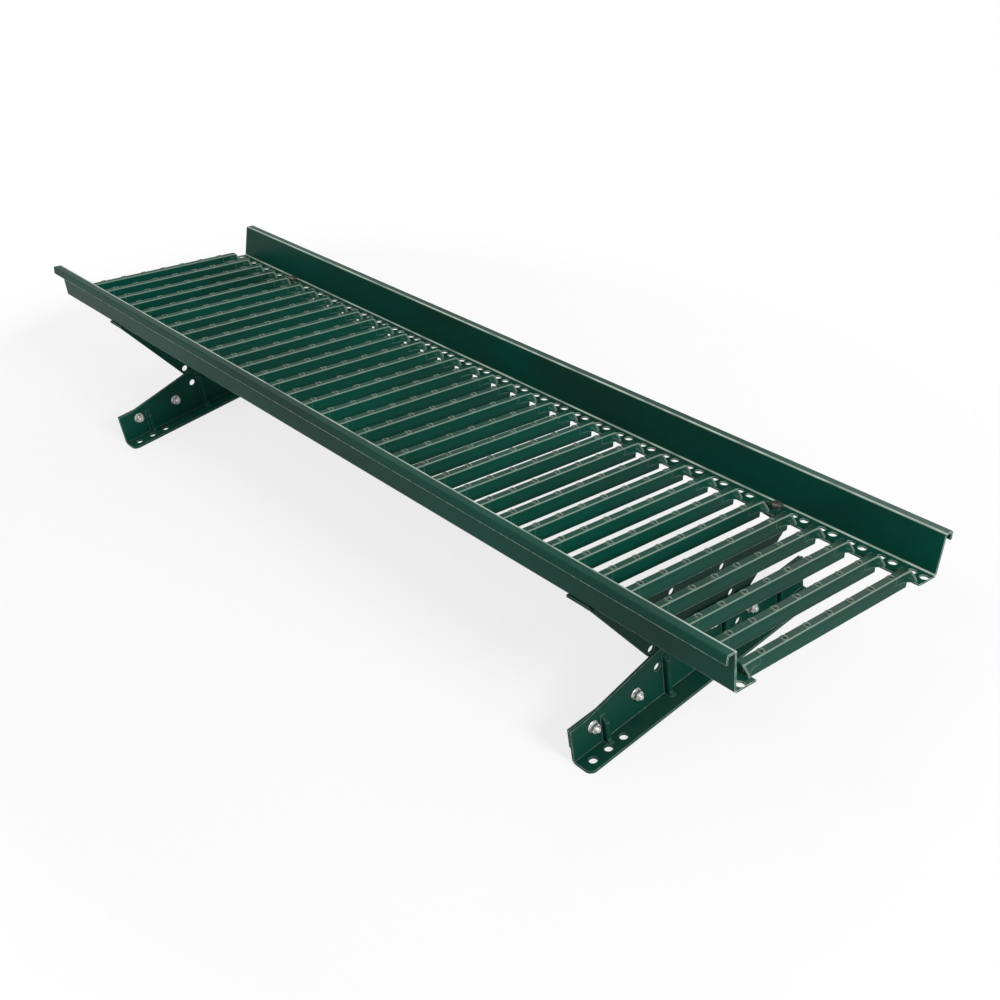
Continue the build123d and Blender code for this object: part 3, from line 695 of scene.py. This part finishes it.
def slat_end(half_length, half_width, inset, level, way):
    """The flat strip from the last cell to the slat's round end, in two rows."""
    across = np.linspace(-half_width, half_width, 9)
    radius = max(SLAT_CORNER - inset, LEAST_CORNER)
    past = np.maximum(np.abs(across) - (half_width - radius), 0)
    end = half_length - inset - radius + np.sqrt(np.maximum(radius ** 2 - past ** 2, 0))
    start = np.full_like(across, GRIP_COUNT * GRIP_PITCH / 2)
    rows = [np.column_stack([across, way * value, np.full_like(across, level)])
            for value in (start, end)]
    points = np.concatenate(rows)
    index = np.arange(len(across) - 1)
    faces = np.stack([index, index + 1, index + 1 + len(across), index + len(across)], axis=-1)
    return points, faces


def slat_flare(half_length, side, way):
    """One side of one end, where the wall flares out onto the rail flange. Its reach at a
    height is the spread times one minus the height's share to the power FLARE_POWER; the
    spread grows as the cube of the way to the flange's tip, and both ends are closed. It
    starts just inside the wall's face."""
    root = SLAT_HALF_WIDTH - FLARE_SINK
    spread = FLARE_REACH - root
    tip = half_length - SLAT_LAP
    along = np.append(np.linspace(tip - FLARE_LENGTH, tip, 9), half_length)
    step = np.clip((along - along[0]) / FLARE_LENGTH, 0, 1)
    grown = spread * step ** 3
    share = np.linspace(1, 0, 11)
    rings = []
    for place, width in zip(along, grown):
        across = np.append(root + width * (1 - share ** FLARE_POWER), root)
        height = np.append(FLARE_HEIGHT * share, 0.0)
        across[[0, -1]] = root - FLARE_DEPTH
        rings.append(np.column_stack([side * across, np.full_like(across, way * place), height]))
    first, last = (np.broadcast_to(ring.mean(axis=0), ring.shape) for ring in (rings[0], rings[-1]))
    return np.stack([first] + rings + [last])


def slat_surface(half_length):
    """All of one slat, about its own middle, with the flange's top face at Z 0."""
    centres = (np.arange(GRIP_COUNT) - (GRIP_COUNT - 1) / 2) * GRIP_PITCH
    flat_half = SLAT_HALF_WIDTH - SLAT_BEND
    inner_half = SLAT_HALF_WIDTH - SLAT_SHEET
    parts = [slat_shell(half_length)]
    for centre in centres:
        parts.append(pierced_cell(centre, flat_half, SLAT_RISE))
        parts.append(pierced_cell(centre, inner_half, SLAT_RISE - SLAT_SHEET))
        parts.append(grip_collar(centre))
    parts += [slat_flare(half_length, side, way) for side in (-1, 1) for way in (-1, 1)]
    points, faces = join_rings(parts)
    for way in (-1, 1):
        for half_width, inset, level in ((flat_half, SLAT_BEND, SLAT_RISE),
                                         (inner_half, SLAT_SHEET, SLAT_RISE - SLAT_SHEET)):
            end_points, end_faces = slat_end(half_length, half_width, inset, level, way)
            faces = np.concatenate([faces, end_faces + len(points)])
            points = np.concatenate([points, end_points])
    return points, faces


def mark_fold_highlights(piece, centre):
    """Writes the point attribute of painted highlight: the cube of the sine of twice the bend's
    angle on the two top folds, less on the one towards -X, which faces away from the key lamp,
    and high values, as painted glints, on the collars' lips and on the rims of the flared ends."""
    near = 1e-5
    lip_level = SLAT_RISE + 1.15 * MM
    dim_side_highlight = 0.45
    rim_width = 0.02
    rim_start = 0.01
    rim_glint = 0.7
    mesh = piece.data
    spots = np.empty(len(mesh.vertices) * 3)
    mesh.vertices.foreach_get("co", spots)
    side_x, along, height = (spots.reshape(-1, 3) - centre).T
    across = np.abs(side_x)
    rise = np.clip((height - SLAT_RISE + SLAT_BEND) / SLAT_BEND, 0, 1)
    on_bend = (across > SLAT_HALF_WIDTH - SLAT_BEND - near) & (height < SLAT_RISE + near)
    fold_highlight = np.where(on_bend, np.sin(2 * np.arcsin(rise)) ** 3, 0)
    # Less painted highlight on the fold towards -X, which faces away from the key lamp.
    fold_highlight = fold_highlight * np.where(side_x > 0, 1, dim_side_highlight)
    outward = np.maximum(across - SLAT_HALF_WIDTH, 0) / (FLARE_REACH - SLAT_HALF_WIDTH)
    share = np.clip(height / FLARE_HEIGHT, 0, 1) ** FLARE_POWER
    on_rim = (np.abs(outward + share - 1) < rim_width) & (outward > rim_start)
    at_end = np.abs(along) > np.abs(along).max() - near
    # Painted glints along the rims of the flared ends.
    fold_highlight = np.where(on_rim & at_end, rim_glint, fold_highlight)
    fold_highlight = np.where(height > lip_level, 1.0, fold_highlight)
    attribute = mesh.attributes.new("fold_highlight", "FLOAT", "POINT")
    attribute.data.foreach_set("value", fold_highlight.astype(np.float32))


slat_coat = make_coat("slat_coat", (1.0, 0.4, 1.0), 0.7, 0.42, 0.04, painted_fold_highlights=True)
slat_names = [name for name in frame["nodes"] if name.startswith("slat_")]
first_low, first_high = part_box(slat_names[0])
slat_points, slat_faces = slat_surface((first_high[1] - first_low[1]) / 2)
for name in slat_names:
    low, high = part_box(name)
    centre = ((low[0] + high[0]) / 2, (low[1] + high[1]) / 2, deck_level)
    slat = stand_for(f"grip_{name}", name, "platform", "green_coat", slat_points + centre,
                     slat_faces, slat_coat, sharp=40.0)
    mark_fold_highlights(slat, np.array(centre))


# Deck bolts, spacers and nuts
# One M8 bolt at each bracket tab. Its head stands on a short sleeve above the rail flange,
# and its nut sits under the tab.

HOLE_INSET = 10.8 * MM
DECK_HEAD_HEIGHT = 3.6 * MM
DECK_HEAD_FLATS = 12.0 * MM
SPACER_RADIUS = 5.0 * MM
SPACER_EDGE = 0.3 * MM
AGED_DULL = (0.10, 0.095, 0.085, 1)
AGED_BRIGHT = (0.28, 0.26, 0.24, 1)


def deck_places(level):
    """The matrices of the four deck bolts at one height, pointing up."""
    reach = RAIL_HALF_WIDTH - HOLE_INSET
    return [Matrix.Translation((pivot_of(side).x, way * reach, level))
            for side in ("left", "right") for way in (-1, 1)]


bolt_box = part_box("deck_bolts")
spacer_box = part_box("deck_spacers")
nut_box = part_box("deck_nuts")
aged_zinc = make_zinc("aged_zinc", AGED_DULL, AGED_BRIGHT)
# Half a turn about X: heads lie uppermost, shanks hang down, and nuts are put on from below.
flip = np.array([1, -1, -1])
points, faces = headed_bolt(DECK_HEAD_FLATS, DECK_HEAD_HEIGHT, M8_RADIUS, M8_PITCH,
                            bolt_box[1][2] - bolt_box[0][2] - DECK_HEAD_HEIGHT)
places = deck_places(bolt_box[1][2] - DECK_HEAD_HEIGHT)
stand_for("deck_bolt_set", "deck_bolts", "platform", "zinc",
          *place_copies(points * flip, faces, places), aged_zinc)
spacer_height = spacer_box[1][2] - spacer_box[0][2]
sleeve = turned([M8_RADIUS, SPACER_RADIUS - SPACER_EDGE, SPACER_RADIUS, SPACER_RADIUS,
                 SPACER_RADIUS - SPACER_EDGE, M8_RADIUS, M8_RADIUS],
                [0, 0, SPACER_EDGE, spacer_height - SPACER_EDGE, spacer_height,
                 spacer_height, 0], 32)
stand_for("deck_spacer_set", "deck_spacers", "platform", "zinc",
          *place_copies(*join_rings([sleeve]), deck_places(spacer_box[0][2])), aged_zinc)
nut_height = nut_box[1][2] - nut_box[0][2]
points, faces = join_rings([hexagon_rings(M8_ACROSS_FLATS, nut_height, M8_RADIUS)])
stand_for("deck_nut_set", "deck_nuts", "platform", "zinc",
          *place_copies(points * flip, faces, deck_places(nut_box[1][2])), aged_zinc)


# Roof surface
# A pale matt sheet in the plane of the roof, under both arms. It fades into the white
# background towards its edge.

ROOF_RADIUS = 0.9
ROOF_STRETCH = (1.35, 0.85, 1.0)
ROOF_GAP = 0.4 * MM
FADE_REACH = (1.2, 0.75)


def make_roof_sheet():
    """An oval patch of the roof plane: rings of points about the origin, stretched along X
    and turned to the slope, a little below the arms."""
    rings = turned([0.0, ROOF_RADIUS / 2, ROOF_RADIUS], [0.0, 0.0, 0.0], 64)
    points, faces = join_rings([rings])
    points = points * ROOF_STRETCH
    tilt = np.array(Matrix.Rotation(ROOF_SLOPE, 3, "X"))
    points = points @ tilt.T - (0, 0, ROOF_GAP)
    material = bpy.data.materials.new("roof_sheet")
    material.use_nodes = True
    tree = material.node_tree
    link = tree.links.new
    shader = tree.nodes["Principled BSDF"]
    shader.inputs["Base Color"].default_value = (0.9, 0.9, 0.9, 1)
    shader.inputs["Roughness"].default_value = 0.9
    shader.inputs["Specular IOR Level"].default_value = 0.1
    output = tree.nodes["Material Output"]
    place = add_node(tree, "ShaderNodeTexCoord")
    shape = add_node(tree, "ShaderNodeMapping", {"Scale": (1 / FADE_REACH[0], 1 / FADE_REACH[1], 0)})
    distance = add_node(tree, "ShaderNodeVectorMath", operation="LENGTH")
    fade = add_node(tree, "ShaderNodeMapRange", {"From Min": 0.45, "From Max": 0.95})
    fade.interpolation_type = "SMOOTHSTEP"
    white = add_node(tree, "ShaderNodeEmission", {"Strength": 1.0})
    blend = add_node(tree, "ShaderNodeMixShader")
    link(place.outputs["Object"], shape.inputs["Vector"])
    link(shape.outputs["Vector"], distance.inputs[0])
    seen = add_node(tree, "ShaderNodeLightPath")
    lifted = add_node(tree, "ShaderNodeMath", {1: 0.72}, operation="MULTIPLY")
    whiter = add_node(tree, "ShaderNodeMath", operation="MAXIMUM")
    link(distance.outputs["Value"], fade.inputs["Value"])
    link(seen.outputs["Is Camera Ray"], lifted.inputs[0])
    link(lifted.outputs["Value"], whiter.inputs[0])
    link(fade.outputs["Result"], whiter.inputs[1])
    link(whiter.outputs["Value"], blend.inputs["Fac"])
    link(shader.outputs["BSDF"], blend.inputs[1])
    link(white.outputs["Emission"], blend.inputs[2])
    link(blend.outputs["Shader"], output.inputs["Surface"])
    roof = make_piece("roof_sheet", points, faces, material)


make_roof_sheet()


# Light and camera
# A large soft lamp from the right, two small ones from the sides and a pale sky. The
# background is white to the camera and in reflections, and dimmer for the light that it sheds.

LAMP_AIM = (0, 0, 0.1)
CAMERA_PLACE = (1.1858, -0.91535, 0.8172)
CAMERA_LENS = 48.86
CAMERA_SENSOR = 36


def add_lamp(name, place, aim, size, watts):
    """A square soft lamp at a place, turned to face its aim."""
    lamp = bpy.data.objects.new(name, bpy.data.lights.new(name, "AREA"))
    lamp.data.shape = "SQUARE"
    lamp.data.size = size
    lamp.data.energy = watts
    lamp.location = place
    lamp.rotation_euler = (Vector(aim) - Vector(place)).to_track_quat("-Z", "Y").to_euler()
    bpy.context.scene.collection.objects.link(lamp)


add_lamp("key", (4.0, -0.5, 2.2), LAMP_AIM, 1.1, 130)
add_lamp("fill", (-0.6, -1.8, 1.9), LAMP_AIM, 0.5, 8)
add_lamp("rim", (-0.4, 1.9, 1.6), LAMP_AIM, 0.5, 9)

world = bpy.data.worlds.new("studio")
bpy.context.scene.world = world
world.use_nodes = True
world_tree = world.node_tree
background = world_tree.nodes["Background"]
background.inputs["Color"].default_value = (1, 1, 1, 1)
path = add_node(world_tree, "ShaderNodeLightPath")
seen = add_node(world_tree, "ShaderNodeMath", operation="MAXIMUM")
seen_through = add_node(world_tree, "ShaderNodeMath", operation="MAXIMUM")
strength = add_node(world_tree, "ShaderNodeMapRange", {"To Min": 0.55, "To Max": 1.0})
world_tree.links.new(path.outputs["Is Camera Ray"], seen.inputs[0])
world_tree.links.new(path.outputs["Is Glossy Ray"], seen.inputs[1])
world_tree.links.new(seen.outputs["Value"], seen_through.inputs[0])
world_tree.links.new(path.outputs["Is Transmission Ray"], seen_through.inputs[1])
world_tree.links.new(seen_through.outputs["Value"], strength.inputs["Value"])
world_tree.links.new(strength.outputs["Result"], background.inputs["Strength"])

yaw, pitch, roll = map(math.radians, (-48.371, 28.168, 1.257))
look = Vector((math.sin(yaw) * math.cos(pitch), math.cos(yaw) * math.cos(pitch), -math.sin(pitch)))
level = Vector((math.cos(yaw), -math.sin(yaw), 0))
upright = level.cross(look)
right = math.cos(roll) * level + math.sin(roll) * upright
up = math.cos(roll) * upright - math.sin(roll) * level
camera = bpy.data.objects.new("camera", bpy.data.cameras.new("camera"))
camera.data.lens = CAMERA_LENS
camera.data.sensor_width = CAMERA_SENSOR
bpy.context.scene.collection.objects.link(camera)
turn = Matrix((right, up, -look)).transposed().to_4x4()
camera.matrix_world = Matrix.Translation(CAMERA_PLACE) @ turn
bpy.context.scene.camera = camera
bpy.context.scene.view_settings.view_transform = "Standard"
